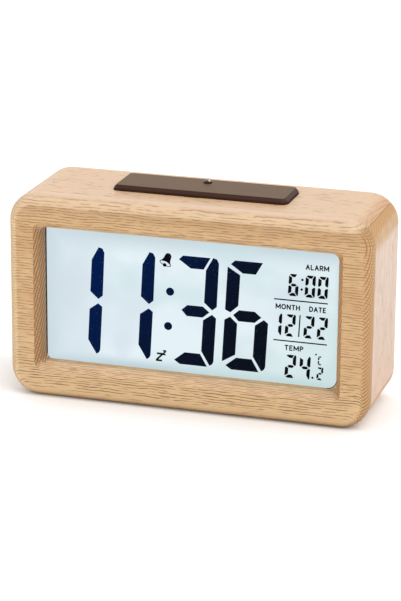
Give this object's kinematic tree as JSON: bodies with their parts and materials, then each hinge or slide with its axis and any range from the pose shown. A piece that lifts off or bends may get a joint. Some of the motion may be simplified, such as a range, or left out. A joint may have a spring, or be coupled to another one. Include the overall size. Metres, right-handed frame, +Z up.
{
  "type": "digital alarm clock",
  "caption": "Rounded wooden box clock with a wide segment display set in its front board, a push bar on top for snooze, and a back cover with keys, a light switch and a battery door.",
  "frame": {"origin": "on the table under the middle of the case", "axes": "+X to the right seen from the front, +Y from the display to the back, +Z up"},
  "size_m": [0.135, 0.043, 0.0796],
  "materials": {
    "front_wood": "satin",
    "board_wood": "satin",
    "bar_plastic": "satin",
    "cover_plastic": "fine texture",
    "chassis_plastic": "matte",
    "white_plastic": "matte",
    "clear_plastic": "polished",
    "window_plastic": "polished",
    "display_glass": "lit, satin",
    "connector_rubber": "matte",
    "circuit_board": "lacquered",
    "black_resin": "glossy",
    "steel": "plated",
    "cell_jacket": "printed",
    "red_sleeve": "satin",
    "black_sleeve": "satin",
    "ribbon_grey": "satin"
  },
  "bodies": {
    "case": {"front_board": "front_wood", "top_board": "board_wood", "bottom_board": "board_wood", "left_board": "board_wood", "right_board": "board_wood", "window_lens": "window_plastic", "lcd_front_glass": "display_glass", "lcd_rear_glass": "display_glass", "light_guide": "clear_plastic", "reflector_sheet": "white_plastic", "backlight_strip": "white_plastic", "display_chassis": "chassis_plastic", "zebra_strip": "connector_rubber", "main_circuit_board": "circuit_board", "controller_chip": "black_resin", "clock_crystal": "steel", "board_screw_left": "steel", "board_screw_right": "steel", "snooze_circuit_board": "circuit_board", "snooze_switch": "chassis_plastic", "light_sensor": "clear_plastic", "snooze_spring_left": "steel", "snooze_spring_right": "steel", "back_cover": "cover_plastic", "cover_screw_1": "steel", "cover_screw_2": "steel", "cover_screw_3": "steel", "cover_screw_4": "steel", "key_circuit_board": "circuit_board", "mode_switch": "chassis_plastic", "up_switch": "chassis_plastic", "down_switch": "chassis_plastic", "alarm_switch": "chassis_plastic", "light_switch_housing": "steel", "buzzer": "black_resin", "temperature_sensor": "black_resin", "battery_1": "cell_jacket", "battery_2": "cell_jacket", "battery_3": "cell_jacket", "positive_contact": "steel", "lower_link_contact": "steel", "upper_link_contact": "steel", "negative_contact": "steel", "battery_lead_red": "red_sleeve", "battery_lead_black": "black_sleeve", "key_ribbon": "ribbon_grey", "snooze_ribbon": "ribbon_grey"},
    "snooze_key": {"snooze_bar": "bar_plastic", "sensor_window": "clear_plastic", "snooze_plunger": "white_plastic"},
    "mode_key": {"mode_button": "bar_plastic", "mode_plunger": "white_plastic"},
    "up_key": {"up_button": "bar_plastic", "up_plunger": "white_plastic"},
    "down_key": {"down_button": "bar_plastic", "down_plunger": "white_plastic"},
    "alarm_key": {"alarm_button": "bar_plastic", "alarm_plunger": "white_plastic"},
    "light_knob": {"light_switch_knob": "bar_plastic"},
    "door": {"battery_door": "cover_plastic"}
  },
  "joints": [
    {"name": "snooze_press", "type": "slide", "parent": "case", "child": "snooze_key", "axis": [0, 0, -1], "range_m": [0, 0.0012], "stiffness_N_per_m": 600, "springref_m": -0.0003, "deforming": ["snooze_spring_left", "snooze_spring_right"]},
    {"name": "mode_press", "type": "slide", "parent": "case", "child": "mode_key", "axis": [0, -1, 0], "range_m": [0, 0.0006], "stiffness_N_per_m": 500},
    {"name": "up_press", "type": "slide", "parent": "case", "child": "up_key", "axis": [0, -1, 0], "range_m": [0, 0.0006], "stiffness_N_per_m": 500},
    {"name": "down_press", "type": "slide", "parent": "case", "child": "down_key", "axis": [0, -1, 0], "range_m": [0, 0.0006], "stiffness_N_per_m": 500},
    {"name": "alarm_press", "type": "slide", "parent": "case", "child": "alarm_key", "axis": [0, -1, 0], "range_m": [0, 0.0006], "stiffness_N_per_m": 500},
    {"name": "light_slide", "type": "slide", "parent": "case", "child": "light_knob", "axis": [1, 0, 0], "range_m": [0, 0.002]},
    {"name": "door_swing", "type": "hinge", "parent": "case", "child": "door", "pos_m": [-0.02805, 0.0192, 0.0114], "axis": [-1, 0, 0], "range_deg": [0, 90]}
  ]
}
